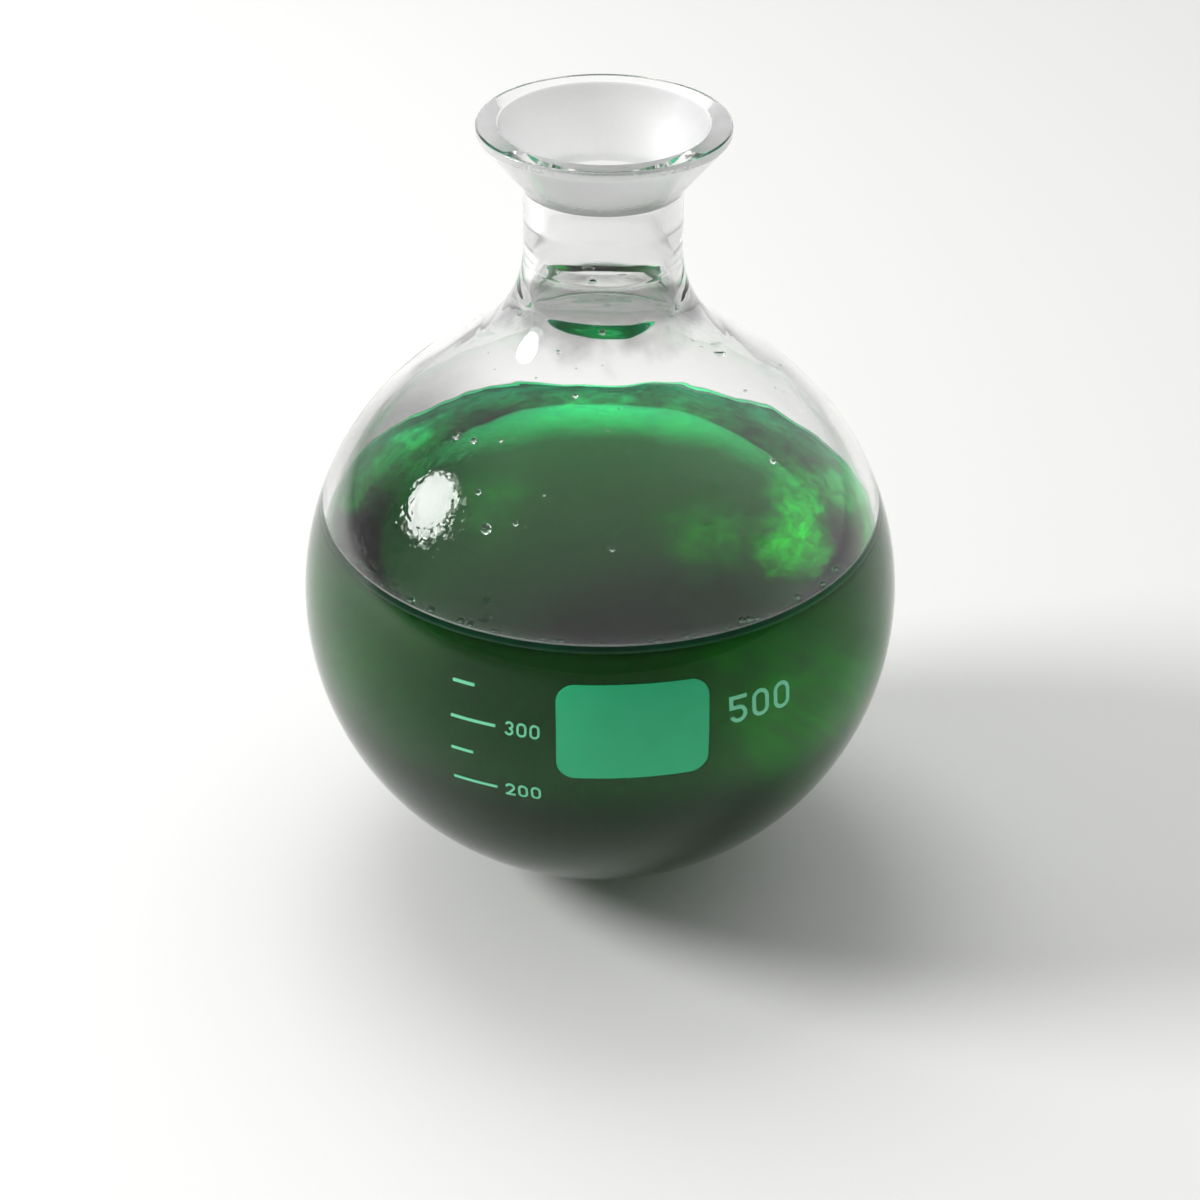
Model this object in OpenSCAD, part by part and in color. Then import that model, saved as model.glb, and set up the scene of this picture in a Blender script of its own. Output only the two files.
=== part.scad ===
// Round bottom flask with a spherical ground-joint socket, holding a green solution.
// Millimetres, +Z up, front towards -Y. The origin is the bulb's lowest point, on the neck's axis.

/* [Bulb] */
// Outside diameter of the bulb
bulb_d = 105; // [98:1:112]
// Wall of the bulb and its shoulder
bulb_wall = 2.2; // [1.4:0.1:3]
// Slope of the shoulder's straight part, from the horizontal
shoulder_slope = 38; // [34:1:44]
// Outside radius of the flare from the shoulder into the neck
flare_r = 22; // [16:1:26]

/* [Neck] */
// Outside diameter of the neck
neck_d = 26.5; // [25:0.5:29]
// Wall of the neck
neck_wall = 2.2; // [1.6:0.1:2.4]
// Depth of the weld below the point where the neck starts to flare
weld_drop = 1.9; // [0.5:0.1:3]
// Length of the joint piece, from its rim down to the weld
joint_h = 23.4; // [22:0.2:30]

/* [Ball socket] */
// Diameter of the ball that the socket takes
ball_d = 35; // [34.8:0.1:36]
// Diameter of the bore through the throat
bore_d = 20; // [18:0.5:21]
// Diameter of the socket's mouth, at the rim
mouth_d = 34.4; // [33.6:0.1:34.6]
// Outside diameter of the rim
rim_d = 41.7; // [40:0.1:44]
// Height of the rim's upright outer edge
rim_edge = 0.8; // [0.4:0.1:1.4]
// Radius that rounds the rim's outer corner
rim_round = 0.6; // [0.2:0.1:1]
// Depth below the rim at which the socket's outside meets the neck
cup_h = 10.6; // [10:0.1:13]
// Length of the cylindrical throat, below which the bore widens to the neck's own
bore_len = 6; // [3:0.5:7]

/* [Solution] */
// Height of the liquid's surface above the bulb's centre
level_h = 17.4; // [5:0.2:22]
// Clearance between the liquid and the wall it turns in
level_gap = 0.2; // [0.1:0.05:0.4]

/* [Printed marks] */
// Thickness of the fired enamel
print_t = 0.15; // [0.1:0.05:0.3]
// Width of the writing field
field_w = 25; // [18:1:34]
// Height of the writing field
field_h = 17.4; // [12:0.2:22]
// Corner radius of the writing field
field_round = 3.2; // [1:0.2:5]
// Angle from the front to the writing field's middle
field_angle = 6.2; // [-6:0.2:10]
// Height of the writing field's middle above the bulb's centre
field_up = 4.6; // [-8:0.2:10]
// Height of the capacity figures
figure_h = 5; // [3:0.2:7]
// Angle from the front to the capacity figures' middle
figure_angle = 30.4; // [28:0.2:50]
// Height of the capacity figures' middle above the bulb's centre
figure_up = 6.2; // [-8:0.2:12]
// Width of a figure's stroke, as a share of its height
stroke_share = 0.14; // [0.1:0.01:0.18]
// Height of the level scale's figures
scale_figure_h = 2.6; // [2:0.2:3.6]
// Length of the level scale's main lines
scale_line = 8; // [5:0.5:10]
// Length of the lines between them
scale_short_line = 4; // [2:0.5:5]
// Width of the level scale's lines
scale_stroke = 0.5; // [0.3:0.1:0.8]
// Angle from the front to the left end of the level scale's lines
scale_angle = -27.5; // [-40:0.5:-24]
// Angle from the end of the scale's lines to its figures
scale_figure_angle = 1.6; // [1:0.2:4]

/* [Hidden] */
$fn = 128;

glass = [0.86, 0.92, 0.92, 0.4];
liquid_green = [0.0, 0.45, 0.22, 0.85];
enamel = [0.55, 0.88, 0.70];

// Proportions of a figure, as shares of its height: its width, the step to the next one,
// and the radius of the bowls of 5 and 3.
wide_share = 0.64;
step_share = 0.84;
bowl_5_share = 0.32;
bowl_3_share = 0.29;
// The slope of 2, from upright.
slope_2 = 40;
// The highest level line, as a share of the height at which the shoulder begins.
scale_top_share = 0.8;

bulb_r = bulb_d / 2;
bulb_in_r = bulb_r - bulb_wall;
neck_r = neck_d / 2;
neck_in_r = neck_r - neck_wall;
ball_r = ball_d / 2;
bore_r = bore_d / 2;
mouth_r = mouth_d / 2;
rim_r = rim_d / 2;

centre_z = bulb_r;
flare_start_z = centre_z + flare_z(bulb_r, neck_r, flare_r);
weld_z = flare_start_z - weld_drop;
rim_z = weld_z + joint_h;
// The ball sits a little proud of the mouth, so its centre is above the rim.
ball_z = rim_z + sqrt(ball_r * ball_r - mouth_r * mouth_r);
throat_z = ball_z - sqrt(ball_r * ball_r - bore_r * bore_r);
widen_z = throat_z - bore_len;
solution_r = bulb_in_r - level_gap;
far = 2 * rim_z;

// Where a cone at the shoulder's slope touches a sphere of radius r.
function touch_r(r) = r * sin(shoulder_slope);
function touch_z(r) = r * cos(shoulder_slope);
// Height of the centre of the flare that joins that cone to a tube of radius tube_r.
function flare_z(r, tube_r, arc_r) =
  touch_z(r) + (arc_r - (tube_r + arc_r - touch_r(r)) * sin(shoulder_slope)) / cos(shoulder_slope);

// The right half of a disc, which turns into a ball.
module half_disc(r) {
  intersection() {
    circle(r);
    translate([0, -r]) square([r, 2 * r]);
  }
}

// Half outline of a round body: sphere, straight shoulder, flare and tube up to top_z.
// Heights are from the sphere's centre.
module body_outline(r, tube_r, arc_r, top_z) {
  arc_x = tube_r + arc_r;
  arc_z = flare_z(r, tube_r, arc_r);
  half_disc(r);
  difference() {
    polygon([
      [0, 0],
      [touch_r(r), touch_z(r)],
      [arc_x - arc_r * sin(shoulder_slope), arc_z - arc_r * cos(shoulder_slope)],
      [arc_x, arc_z],
      [tube_r, arc_z],
      [tube_r, top_z],
      [0, top_z]
    ]);
    translate([arc_x, arc_z]) circle(arc_r);
  }
}

// The blown body's outside, with its neck carried up to top_z.
module body_outside(top_z) {
  translate([0, 0, centre_z]) rotate_extrude()
    body_outline(bulb_r, neck_r, flare_r, top_z - centre_z);
}

// The hollow inside the body, carried up past the rim.
module body_inside() {
  translate([0, 0, centre_z]) rotate_extrude()
    body_outline(bulb_in_r, neck_in_r, flare_r + neck_wall, far - centre_z);
}

// Everything from the height low_z up.
module above(low_z) {
  translate([-far / 2, -far / 2, low_z]) cube(far);
}

// Bulb, shoulder and flare in one blown piece, open at the weld.
module bulb() {
  color(glass) difference() {
    body_outside(rim_z);
    body_inside();
    above(weld_z);
  }
}

// Half outline of the cup on top of the neck, with its rounded rim.
module cup_outline() {
  round_x = rim_r - rim_round;
  round_z = rim_z - rim_round;
  polygon([
    [0, rim_z - cup_h],
    [neck_r, rim_z - cup_h],
    [rim_r, round_z - rim_edge],
    [rim_r, round_z],
    [round_x, round_z],
    [round_x, rim_z],
    [0, rim_z]
  ]);
  translate([round_x, round_z]) circle(rim_round);
}

// Half outline of the way through the tube and the throat, up into the ball's seat.
module bore_outline() {
  polygon([
    [0, weld_z - neck_in_r],
    [neck_in_r, weld_z - neck_in_r],
    [neck_in_r, flare_start_z],
    [bore_r, widen_z],
    [bore_r, ball_z],
    [0, ball_z]
  ]);
}

// The ball-joint socket with its short tube, welded to the bulb's neck.
module ball_socket() {
  color(glass) difference() {
    union() {
      rotate_extrude() cup_outline();
      intersection() {
        body_outside(rim_z);
        above(weld_z);
      }
    }
    translate([0, 0, ball_z]) sphere(ball_r);
    rotate_extrude() bore_outline();
    difference() {
      body_inside();
      above(flare_start_z);
    }
  }
}

// The green liquid, a ball with its top cut level, free to turn in the bulb.
module solution() {
  color(liquid_green) difference() {
    translate([0, 0, centre_z]) sphere(solution_r);
    above(centre_z + level_h);
  }
}

// The thin layer over the bulb in which the enamel lies.
module enamel_shell() {
  translate([0, 0, centre_z]) rotate_extrude() difference() {
    half_disc(bulb_r + print_t);
    half_disc(bulb_r);
  }
}

// Lays a flat mark on the bulb: turned from the front by turn, its origin up above the centre.
// It is extruded straight out from the bulb's centre and keeps the enamel's thickness.
module printed(turn, up) {
  lean = asin(up / bulb_r);
  intersection() {
    enamel_shell();
    translate([0, 0, centre_z]) rotate([0, 0, turn]) rotate([90 - lean, 0, 0])
      linear_extrude(bulb_d) children();
  }
}

module writing_field() {
  x = field_w / 2 - field_round;
  y = field_h / 2 - field_round;
  color(enamel) printed(field_angle, field_up) {
    square([field_w, 2 * y], center = true);
    square([2 * x, field_h], center = true);
    for (side = [-1, 1], end = [-1, 1]) translate([side * x, end * y]) circle(field_round);
  }
}

// Figures are drawn from their lower left corner, tall high.
function figure_wide(tall) = wide_share * tall;
function figure_step(tall) = step_share * tall;
function figures_wide(count, tall) = (count - 1) * figure_step(tall) + figure_wide(tall);

// A ring whose two halves are held apart, as in a nought.
module figure_0(tall) {
  r = figure_wide(tall) / 2;
  line = stroke_share * tall;
  difference() {
    stadium(r, tall);
    translate([line, line]) stadium(r - line, tall - 2 * line);
  }
}

module stadium(r, tall) {
  translate([r, r]) circle(r);
  translate([r, tall - r]) circle(r);
  translate([0, r]) square([2 * r, tall - 2 * r]);
}

// The lower bowl that 3 and 5 share: a ring with its left side opened.
module bowl(tall, size, low) {
  line = stroke_share * tall;
  translate([figure_wide(tall) - size, low + size]) difference() {
    circle(size);
    circle(size - line);
    polygon([[0, 0], [-3 * size, -size], [-3 * size, 3 * size], [0, 3 * size]]);
  }
}

module figure_5(tall) {
  line = stroke_share * tall;
  wide = figure_wide(tall);
  size = bowl_5_share * tall;
  bowl(tall, size, 0);
  translate([0, 2 * size - line]) square([wide - size, line]);
  translate([0, 2 * size - line]) square([line, tall - 2 * size + line]);
  translate([0, tall - line]) square([wide, line]);
}

module figure_3(tall) {
  line = stroke_share * tall;
  wide = figure_wide(tall);
  low = bowl_3_share * tall;
  high = (tall + line) / 2 - low;
  bowl(tall, low, 0);
  translate([wide - high, 2 * low - line + high]) difference() {
    circle(high);
    circle(high - line);
    polygon([[0, 0], [-3 * high, high], [-3 * high, -3 * high], [0, -3 * high]]);
  }
}

// A bowl open at its lower left, which runs straight on down to the base.
module figure_2(tall) {
  line = stroke_share * tall;
  wide = figure_wide(tall);
  size = wide / 2;
  end = [cos(slope_2), -sin(slope_2)];
  foot = tall - size - line / 2;
  translate([size, tall - size]) {
    difference() {
      circle(size);
      circle(size - line);
      polygon([[0, 0], 3 * size * end, [0, -5 * size], [-3 * size, -5 * size], [-3 * size, size / 2]]);
    }
    polygon([
      size * end, (size - line) * end,
      [slope_x((size - line) * end, foot), -foot], [slope_x(size * end, foot), -foot]
    ]);
  }
  square([wide, line]);
}

// Where the slope of 2 that leaves a point has come down to the depth foot.
function slope_x(from, foot) = from[0] - (foot + from[1]) * tan(slope_2);

module figure(digit, tall) {
  if (digit == 0) figure_0(tall);
  if (digit == 2) figure_2(tall);
  if (digit == 3) figure_3(tall);
  if (digit == 5) figure_5(tall);
}

module figures(digits, tall) {
  for (i = [0:len(digits) - 1]) translate([i * figure_step(tall), 0]) figure(digits[i], tall);
}

module capacity_figures() {
  color(enamel) printed(figure_angle, figure_up)
    translate([-figures_wide(3, figure_h) / 2, -figure_h / 2]) figures([5, 0, 0], figure_h);
}

// Height above the bulb's inside bottom at which it holds a volume in millilitres,
// from the volume of a ball's cap by halving the interval.
function cap_volume(h) = PI * h * h * (3 * bulb_in_r - h) / 3000;
function fill_h(ml, low = 0, high = 2 * bulb_in_r, steps = 24) =
  steps == 0 ? (low + high) / 2
  : cap_volume((low + high) / 2) < ml ? fill_h(ml, (low + high) / 2, high, steps - 1)
  : fill_h(ml, low, (low + high) / 2, steps - 1);
function fill_up(ml) = fill_h(ml) - bulb_in_r;

// The scale's volumes, each with the first digit of its figures, or 0 for a short line.
// One that would lie on the shoulder is left off.
scale_marks = [
  for (mark = [[200, 2], [250, 0], [300, 3], [350, 0]])
    if (cap_volume(bulb_in_r + scale_top_share * touch_z(bulb_in_r)) > mark[0]) mark
];

// The angle that a length takes round the bulb.
function arc_angle(long) = long / bulb_r * 180 / PI;

// A level line on the bulb, from the angle turn to the right for its length.
module level_line(turn, up, long) {
  end = turn + arc_angle(long);
  intersection() {
    enamel_shell();
    translate([0, 0, centre_z + up - scale_stroke / 2]) linear_extrude(scale_stroke)
      polygon([
        [0, 0],
        bulb_d * [sin(turn), -cos(turn)],
        bulb_d * [sin(end), -cos(end)]
      ]);
  }
}

module level_lines() {
  color(enamel) for (mark = scale_marks)
    level_line(scale_angle, fill_up(mark[0]), mark[1] > 0 ? scale_line : scale_short_line);
}

module level_figures() {
  color(enamel) for (mark = scale_marks) if (mark[1] > 0)
    printed(scale_angle + arc_angle(scale_line) + scale_figure_angle, fill_up(mark[0]))
      translate([0, -scale_figure_h / 2]) figures([mark[1], 0, 0], scale_figure_h);
}

bulb();
ball_socket();
solution();
writing_field();
capacity_figures();
level_lines();
level_figures();
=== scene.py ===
import math

import bpy
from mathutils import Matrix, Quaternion, Vector


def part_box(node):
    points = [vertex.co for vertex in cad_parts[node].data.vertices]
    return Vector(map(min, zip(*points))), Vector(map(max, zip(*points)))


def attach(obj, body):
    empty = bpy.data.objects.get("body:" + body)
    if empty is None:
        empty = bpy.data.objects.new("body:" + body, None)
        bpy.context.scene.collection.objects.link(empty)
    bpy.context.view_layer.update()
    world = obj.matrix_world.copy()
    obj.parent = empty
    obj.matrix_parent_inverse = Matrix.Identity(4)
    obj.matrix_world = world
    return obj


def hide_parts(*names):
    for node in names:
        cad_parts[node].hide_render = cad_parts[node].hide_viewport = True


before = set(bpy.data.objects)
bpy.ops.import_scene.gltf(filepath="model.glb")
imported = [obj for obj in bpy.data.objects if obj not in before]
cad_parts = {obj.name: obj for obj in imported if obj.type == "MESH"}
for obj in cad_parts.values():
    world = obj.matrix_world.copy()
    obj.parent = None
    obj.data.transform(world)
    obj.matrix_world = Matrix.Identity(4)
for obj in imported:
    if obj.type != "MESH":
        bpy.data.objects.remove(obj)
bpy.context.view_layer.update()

# Metres and degrees. The origin is the bulb's lowest point, +Z runs up the neck, the front faces -Y.
MM = 0.001

# ---------------------------------------------------------------- sizes from the frame
BULB_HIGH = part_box("bulb")[1]
SOCKET_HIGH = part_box("ball_socket")[1]
LIQUID_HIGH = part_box("solution")[1]

BULB_R = BULB_HIGH[0]
CENTRE_Z = BULB_R
WELD_Z = BULB_HIGH[2]
RIM_Z = SOCKET_HIGH[2]
RIM_R = SOCKET_HIGH[0]
LEVEL_Z = LIQUID_HIGH[2]

# ---------------------------------------------------------------- sizes of the glass
WALL = 2.2 * MM
SHOULDER_SLOPE = 38
FLARE_R = 22 * MM
NECK_R = 13.25 * MM
BALL_R = 17.5 * MM
MOUTH_R = 17.2 * MM
BORE_R = 10 * MM
BORE_LENGTH = 6 * MM
CUP_HEIGHT = 10.6 * MM
RIM_EDGE = 0.8 * MM
# How far from each corner its rounding starts.
CUP_ROUND = 1.2 * MM
LIP_ROUND = 0.35 * MM
RIM_ROUND = 0.6 * MM
MOUTH_ROUND = 0.35 * MM
THROAT_ROUND = 0.4 * MM
WIDEN_ROUND = 0.8 * MM
ROUND_STEPS = 6
# The weld leaves a fine line outside.
WELD_LINE_DEPTH = 0.1 * MM
WELD_LINE_WIDTH = 0.4 * MM
# Below it the drawn glass thickens inwards to an uneven ring, lower at the front and thicker at the back.
RING_PROUD = 1.4 * MM
RING_Z = WELD_Z - 8.1 * MM
RING_TILT = 2 * MM
RING_ABOVE = 2.5 * MM
RING_BELOW = 5 * MM
RING_SWAY = 0.5 * MM
RING_SWAY_SIZE = 7 * MM
RING_BACK_SHARE = 1.8
# How much of the ring is lost towards the sides, coming from the front and from the back.
RING_FADE_FRONT = 0.85
RING_FADE_BACK = 0.25
# The skin drawn in the flame ripples slowly, most halfway up the empty part and less outside.
WALL_RIPPLE = 0.1 * MM
WALL_RIPPLE_SIZE = 7 * MM
OUTSIDE_RIPPLE_SHARE = 0.3

# ---------------------------------------------------------------- sizes of the liquid
# How far the liquid's skin lies inside the glass, so that no film of air is left between them.
WETTING = 0.06 * MM
CAPILLARY_LENGTH = 2.4 * MM
MENISCUS_RISE = 0.8 * MM
MENISCUS_STEPS = 15
# The liquid's edge ripples where it clings to the wall, and the flat of it lies still.
EDGE_RIPPLE = 0.3 * MM
EDGE_RIPPLE_SIZE = 4 * MM
EDGE_RIPPLE_REACH = 5 * MM

# The liquid may sway this far to either side. The drops keep this clear of it.
SWAY = math.radians(25)
DROP_CLEARANCE = 3 * MM

# ---------------------------------------------------------------- sizes of the drops and bubbles
# The zone of the drops, from its lowest point to its highest.
DROP_ZONE = (LEVEL_Z + 5 * MM, WELD_Z - 2 * MM)
# The bubbles lie on a strip that climbs towards the wall, this many degrees to either side of the front.
# Its two edges are given by their distance from the wall and their height above the level.
BUBBLE_TURN = 63
BUBBLE_TURN_STEP = 2
BUBBLE_STRIP = ((2.6 * MM, 0.05 * MM), (1.5 * MM, 0.3 * MM))
# The share of its own half height by which a bead's middle stands off the face it sits on.
BEAD_LIFT = 0.85
# The higher this number, the fewer beads are large.
BEAD_RARITY = 3.0

# ---------------------------------------------------------------- fineness
SEGMENTS = 208
POINT_SPACING = 1.5 * MM
FINE_SPACING = 0.45 * MM
SAME_POINT = 1e-6

# ---------------------------------------------------------------- what light does
GLASS_IOR = 1.473
WATER_IOR = 1.333
# The film of vapour: the heights between which it sets in, how far its lower edge strays, how its upper
# edge slants to the back and between which heights it thins out, what is left in the neck, and the cup's
# foot, where that ends.
FILM_SETS_IN = (105 * MM, 111 * MM)
FILM_STRAYS = 5 * MM
FILM_SLANT = 0.29
FILM_THINS = (WELD_Z - 3.6 * MM, WELD_Z - 4.4 * MM)
NECK_FILM = 0.18
FILM_ENDS = (131 * MM, 129 * MM)
# The heights between which the painted shade of the lower half begins, and the rim that climbs the glass.
LOWER_SHADE_HEIGHTS = (48 * MM, 38 * MM)
RIM_CLIMBS = (LEVEL_Z - 1.5 * MM, LEVEL_Z + 0.2 * MM)
# The painted band of green glow that the liquid's wall gives off: where it sets in, where it dims under
# the level, and where a fainter one comes on top. Its outlines stray.
BAND_SETS_IN = (42 * MM, 52 * MM)
BAND_DIMS = (LEVEL_Z, LEVEL_Z - 3 * MM)
BAND_STRENGTH = 0.55
UPPER_SETS_IN = (53 * MM, 60 * MM)
UPPER_STRENGTH = 0.3
GLOW_STRAYS = 14 * MM
DYE_DENSITY = 200.0
# Soft patches on the wall: degrees from the front to the right, height and radius in mm, and strength.
# Painted shade: grey patches that darken the glass on the left shoulder.
LEFT_SHADE_PATCHES = ((-66, 87, 28, 1.5), (-100, 78, 24, 0.8))
DRIP_PATCH = (-43, 80, 26, 1.0)
# Painted glow: patches of green light that the liquid's wall gives off.
GLOW_PATCHES = ((-134, 54, 13, 4.8), (-128, 40, 13, 1.0), (-116, 52, 14, 2.8), (121, 27, 15, 6.5),
                (128, 38, 13, 2.6), (116, 48, 13, 1.6), (180, 53, 15, 1.7), (160, 50, 12, 0.8),
                (146, 17, 14, 1.5), (-148, 24, 14, 0.8))


# ---------------------------------------------------------------- colours and nodes
def srgb(code):
    """Turns a colour written as #RRGGBB into linear red, green, blue and a full alpha."""
    parts = [int(code[i:i + 2], 16) / 255 for i in (1, 3, 5)]
    linear = [p / 12.92 if p <= 0.04045 else ((p + 0.055) / 1.055) ** 2.4 for p in parts]
    return (*linear, 1.0)


def add_node(tree, kind, inputs=None, **settings):
    """Adds a node. Each input is a value, or another node's output to link."""
    node = tree.nodes.new(kind)
    for name, value in settings.items():
        setattr(node, name, value)
    for name, value in (inputs or {}).items():
        if isinstance(value, bpy.types.NodeSocket):
            tree.links.new(value, node.inputs[name])
        else:
            node.inputs[name].default_value = value
    return node


def new_material(name):
    """An empty material with its tree and its output node."""
    material = bpy.data.materials.new(name)
    material.use_nodes = True
    material.node_tree.nodes.clear()
    return material, material.node_tree, material.node_tree.nodes.new("ShaderNodeOutputMaterial")


def soft_patch(tree, place, around, up_mm, radius_mm, strength):
    """A soft round patch on the flask's wall. Its place is an angle from the front and a height."""
    turn = math.radians(around)
    up = up_mm * MM
    reach = math.sqrt(BULB_R ** 2 - (up - CENTRE_Z) ** 2)
    centre = (reach * math.sin(turn), -reach * math.cos(turn), up)
    away = add_node(tree, "ShaderNodeVectorMath", {0: place, 1: centre}, operation="DISTANCE")
    patch = add_node(tree, "ShaderNodeMapRange", {"Value": away.outputs["Value"],
                                                  "From Min": radius_mm * MM, "From Max": 0.0,
                                                  "To Max": strength}, interpolation_type="SMOOTHSTEP")
    return patch.outputs["Result"]


# ---------------------------------------------------------------- materials
def vapour_film_and_shade(tree, place):
    """How thickly condensed vapour lies on the glass, and where painted shade greys the left shoulder."""
    # It lies between a ragged lower edge and a slanting upper one. A little of it goes on up to the foot of
    # the cup. Patches of painted shade grey the left shoulder more.
    axes = add_node(tree, "ShaderNodeSeparateXYZ", {0: place})
    ragged = add_node(tree, "ShaderNodeTexNoise", {"Vector": place, "Scale": 1 / (6 * MM), "Detail": 3.0})
    ragged = add_node(tree, "ShaderNodeMapRange", {"Value": ragged.outputs["Fac"],
                                                   "To Min": -FILM_STRAYS, "To Max": FILM_STRAYS})
    low = add_node(tree, "ShaderNodeMath", {0: axes.outputs["Z"], 1: ragged.outputs["Result"]},
                   operation="ADD")
    low = add_node(tree, "ShaderNodeMapRange", {"Value": low.outputs[0], "From Min": FILM_SETS_IN[0],
                                                "From Max": FILM_SETS_IN[1]},
                   interpolation_type="SMOOTHSTEP")
    slanted = add_node(tree, "ShaderNodeMath", {0: axes.outputs["Y"], 1: FILM_SLANT}, operation="MULTIPLY")
    slanted = add_node(tree, "ShaderNodeMath", {0: axes.outputs["Z"], 1: slanted.outputs[0]},
                       operation="ADD")
    high = add_node(tree, "ShaderNodeMapRange", {"Value": slanted.outputs[0], "From Min": FILM_THINS[0],
                                                 "From Max": FILM_THINS[1], "To Min": NECK_FILM})
    film = add_node(tree, "ShaderNodeMath", {0: low.outputs["Result"], 1: high.outputs["Result"]},
                    operation="MULTIPLY").outputs[0]
    below_cup = add_node(tree, "ShaderNodeMapRange", {"Value": axes.outputs["Z"],
                                                      "From Min": FILM_ENDS[0], "From Max": FILM_ENDS[1]})
    film = add_node(tree, "ShaderNodeMath", {0: film, 1: below_cup.outputs["Result"]},
                    operation="MULTIPLY").outputs[0]
    # Painted shade: grey patches that darken the left shoulder.
    for spot in LEFT_SHADE_PATCHES:
        film = add_node(tree, "ShaderNodeMath", {0: film, 1: soft_patch(tree, place, *spot)},
                        operation="ADD").outputs[0]
    return film


def make_borosilicate_glass(name, shine):
    # Blown and fire polished: clear and glossy, with the slow ripples of a skin drawn in the flame. A film
    # of vapour greys it, and painted shade greys the left shoulder more.
    material, tree, output = new_material(name)
    place = add_node(tree, "ShaderNodeTexCoord").outputs["Object"]
    clear = add_node(tree, "ShaderNodeMix", {"Factor": vapour_film_and_shade(tree, place), "A": srgb("#FFFFFF"),
                                             "B": srgb("#B2B2B2")}, data_type="RGBA", clamp_factor=True)

    ripple = add_node(tree, "ShaderNodeTexNoise", {"Vector": place, "Scale": 1 / (9 * MM), "Detail": 1.5,
                                                   "Roughness": 0.4})
    bump = add_node(tree, "ShaderNodeBump", {"Height": ripple.outputs["Fac"], "Strength": 0.25,
                                             "Distance": 0.12 * MM})
    # Fine runs of water break up what the wall mirrors on the left.
    runs = add_node(tree, "ShaderNodeTexNoise", {"Vector": place, "Scale": 1 / (2.6 * MM), "Detail": 2.0,
                                                 "Roughness": 0.6})
    bump = add_node(tree, "ShaderNodeBump", {"Height": runs.outputs["Fac"],
                                             "Strength": soft_patch(tree, place, *DRIP_PATCH),
                                             "Distance": 0.14 * MM, "Normal": bump.outputs["Normal"]})
    skin = add_node(tree, "ShaderNodeBsdfPrincipled", {
        "Base Color": clear.outputs[2], "Roughness": 0.0, "IOR": GLASS_IOR, "Transmission Weight": 1.0,
        "Specular Tint": srgb(shine), "Normal": bump.outputs["Normal"]})
    tree.links.new(skin.outputs["BSDF"], output.inputs["Surface"])
    return material


def make_ground_glass():
    # The same glass ground with fine grit where it seals: white, matt and faintly speckled.
    material, tree, output = new_material("ground_glass")
    place = add_node(tree, "ShaderNodeTexCoord").outputs["Object"]
    grit = add_node(tree, "ShaderNodeTexNoise", {"Vector": place, "Scale": 1 / (0.45 * MM), "Detail": 2.0})
    bump = add_node(tree, "ShaderNodeBump", {"Height": grit.outputs["Fac"], "Strength": 0.6,
                                             "Distance": 0.08 * MM})
    skin = add_node(tree, "ShaderNodeBsdfPrincipled", {
        "Base Color": srgb("#FAFBFB"), "Roughness": 0.5, "IOR": GLASS_IOR, "Transmission Weight": 0.72,
        "Normal": bump.outputs["Normal"]})
    tree.links.new(skin.outputs["BSDF"], output.inputs["Surface"])
    return material


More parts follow.
